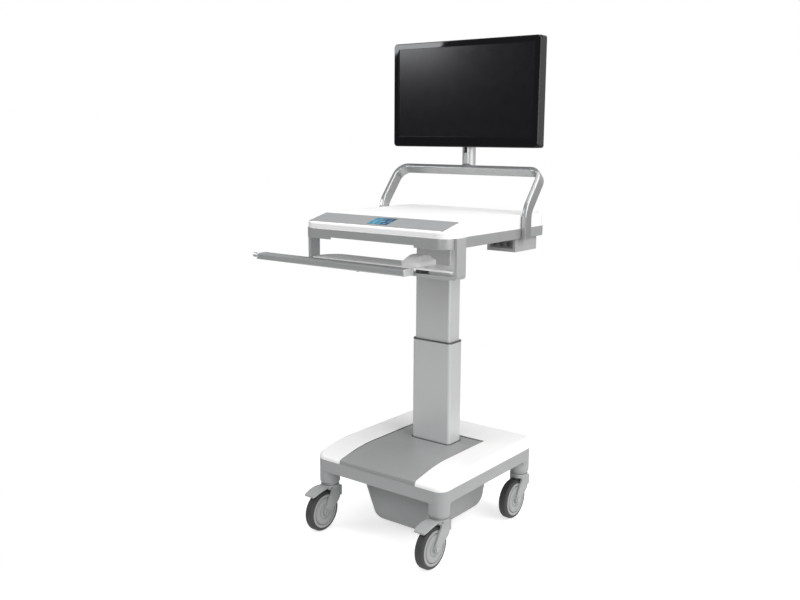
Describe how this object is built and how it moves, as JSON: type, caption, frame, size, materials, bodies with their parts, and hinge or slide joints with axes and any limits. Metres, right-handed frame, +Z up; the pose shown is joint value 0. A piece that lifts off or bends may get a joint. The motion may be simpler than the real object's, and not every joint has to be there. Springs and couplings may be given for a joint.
{
  "type": "mobile medication and computer cart",
  "caption": "Wheeled hospital cart: castor base with covers and tub, telescopic column, work surface with handle, keyboard tray with sliding palm rest, and a monitor on a mast.",
  "frame": {"origin": "on the floor, on the axis of the lifting column", "axes": "+Z up, -Y towards the user who stands at the control strip, +X to the user's right"},
  "size_m": [0.7491, 0.5873, 1.4958],
  "materials": {
    "frame_grey": "satin powder coat, fine orange peel",
    "caster_grey": "semi-gloss moulded nylon",
    "cover_white": "semi-gloss moulded white plastic",
    "cover_grey": "fine-grained moulded dark grey plastic",
    "tub_grey": "satin moulded grey plastic",
    "gasket_grey": "soft dark grey trim",
    "pack_black": "fine-grained black plastic",
    "column_satin": "satin anodised extrusion, fine vertical brushing",
    "glide_white": "natural low-friction plastic",
    "steel": "zinc-plated steel",
    "bracket_dark": "black powder coat",
    "rim_satin": "satin silver anodised aluminium",
    "strip_grey": "satin grey membrane panel",
    "display_blue": "glossy blue display window",
    "box_grey": "light grey powder coat",
    "palm_soft": "soft satin grey foam skin",
    "cap_silver": "light silver moulded cap",
    "mast_black": "black satin",
    "monitor_black": "high-gloss piano black plastic",
    "screen_black": "anti-glare dark display face",
    "hub_grey": "semi-gloss grey nylon wheel centre",
    "tread_dark": "dark grey soft rubber tread",
    "pedal_grey": "satin moulded grey plastic"
  },
  "bodies": {
    "base": {"base_frame": "frame_grey", "base_cover": "cover_white", "base_front_lid": "cover_grey", "column_surround": "cover_grey", "column_gasket": "gasket_grey", "storage_tub": "tub_grey", "power_pack": "pack_black", "lower_column": "column_satin", "column_collar": "gasket_grey", "glide_sleeves": "glide_white", "lift_actuator": "pack_black", "column_bolts": "steel", "swivel_bearings": "caster_grey"},
    "upper": {"upper_column": "column_satin", "lift_rod": "steel", "surface_bracket": "bracket_dark", "surface_rim": "rim_satin", "surface_pan": "rim_satin", "surface_top": "cover_white", "control_strip": "strip_grey", "display_window": "display_blue", "handle_loop": "rim_satin", "monitor_post": "rim_satin", "power_box": "box_grey", "power_sockets": "pack_black", "tray_hanger": "rim_satin", "tray_spacers": "pack_black", "keyboard_platform": "cover_white", "palm_rail": "rim_satin", "mouse": "cover_white"},
    "palm_support": {"palm_bar": "rim_satin", "palm_rest": "palm_soft", "palm_end_caps": "cap_silver", "palm_knob": "rim_satin"},
    "thumb_screw": {"lock_knob": "pack_black"},
    "mast": {"monitor_mast": "mast_black"},
    "swivel": {"swivel_head": "bracket_dark"},
    "monitor": {"tilt_pin": "steel", "vesa_plate": "bracket_dark", "monitor_back": "monitor_black", "monitor_bezel": "monitor_black", "screen_panel": "screen_black"},
    "caster_front_left": {"fork_front_left": "caster_grey", "axle_front_left": "steel"},
    "wheel_front_left": {"hub_front_left": "hub_grey", "tyre_front_left": "tread_dark"},
    "caster_front_right": {"fork_front_right": "caster_grey", "axle_front_right": "steel"},
    "wheel_front_right": {"hub_front_right": "hub_grey", "tyre_front_right": "tread_dark"},
    "caster_rear_left": {"fork_rear_left": "caster_grey", "axle_rear_left": "steel"},
    "wheel_rear_left": {"hub_rear_left": "hub_grey", "tyre_rear_left": "tread_dark"},
    "caster_rear_right": {"fork_rear_right": "caster_grey", "axle_rear_right": "steel"},
    "wheel_rear_right": {"hub_rear_right": "hub_grey", "tyre_rear_right": "tread_dark"},
    "brake_left": {"pedal_left": "pedal_grey"},
    "brake_right": {"pedal_right": "pedal_grey"}
  },
  "joints": [
    {"name": "column_lift", "type": "slide", "parent": "base", "child": "upper", "axis": [0, 0, 1], "range_m": [-0.2, 0.08]},
    {"name": "palm_slide", "type": "slide", "parent": "upper", "child": "palm_support", "axis": [1, 0, 0], "range_m": [-0.02, 0.31]},
    {"name": "palm_lock_turn", "type": "hinge", "parent": "palm_support", "child": "thumb_screw", "pos_m": [-0.06, -0.312, 0.82705], "axis": [0, 0, 1], "range_deg": [-90, 0]},
    {"name": "monitor_height", "type": "slide", "parent": "upper", "child": "mast", "axis": [0, 0, 1], "range_m": [-0.028, 0.05]},
    {"name": "monitor_swivel", "type": "hinge", "parent": "mast", "child": "swivel", "pos_m": [0, 0.16099, 1.31678], "axis": [0, 0, 1], "range_deg": [-45, 45]},
    {"name": "monitor_tilt", "type": "hinge", "parent": "swivel", "child": "monitor", "pos_m": [0, 0.15699, 1.33678], "axis": [1, 0, 0], "range_deg": [-15, 2]},
    {"name": "caster_swivel_front_left", "type": "hinge", "parent": "base", "child": "caster_front_left", "pos_m": [-0.2075, -0.275, 0.1407], "axis": [0, 0, 1], "continuous": true},
    {"name": "wheel_spin_front_left", "type": "hinge", "parent": "caster_front_left", "child": "wheel_front_left", "pos_m": [-0.2075, -0.315, 0.0625], "axis": [1, 0, 0], "continuous": true},
    {"name": "caster_swivel_front_right", "type": "hinge", "parent": "base", "child": "caster_front_right", "pos_m": [0.2075, -0.275, 0.1407], "axis": [0, 0, 1], "continuous": true},
    {"name": "wheel_spin_front_right", "type": "hinge", "parent": "caster_front_right", "child": "wheel_front_right", "pos_m": [0.2075, -0.315, 0.0625], "axis": [1, 0, 0], "continuous": true},
    {"name": "caster_swivel_rear_left", "type": "hinge", "parent": "base", "child": "caster_rear_left", "pos_m": [-0.2075, 0.172, 0.1407], "axis": [0, 0, 1], "continuous": true},
    {"name": "wheel_spin_rear_left", "type": "hinge", "parent": "caster_rear_left", "child": "wheel_rear_left", "pos_m": [-0.2075, 0.132, 0.0625], "axis": [1, 0, 0], "continuous": true},
    {"name": "caster_swivel_rear_right", "type": "hinge", "parent": "base", "child": "caster_rear_right", "pos_m": [0.2075, 0.172, 0.1407], "axis": [0, 0, 1], "continuous": true},
    {"name": "wheel_spin_rear_right", "type": "hinge", "parent": "caster_rear_right", "child": "wheel_rear_right", "pos_m": [0.2075, 0.132, 0.0625], "axis": [1, 0, 0], "continuous": true},
    {"name": "brake_left_press", "type": "hinge", "parent": "caster_front_left", "child": "brake_left", "pos_m": [-0.2075, -0.291, 0.133], "axis": [1, 0, 0], "range_deg": [0, 8]},
    {"name": "brake_right_press", "type": "hinge", "parent": "caster_front_right", "child": "brake_right", "pos_m": [0.2075, -0.291, 0.133], "axis": [1, 0, 0], "range_deg": [0, 8]}
  ]
}
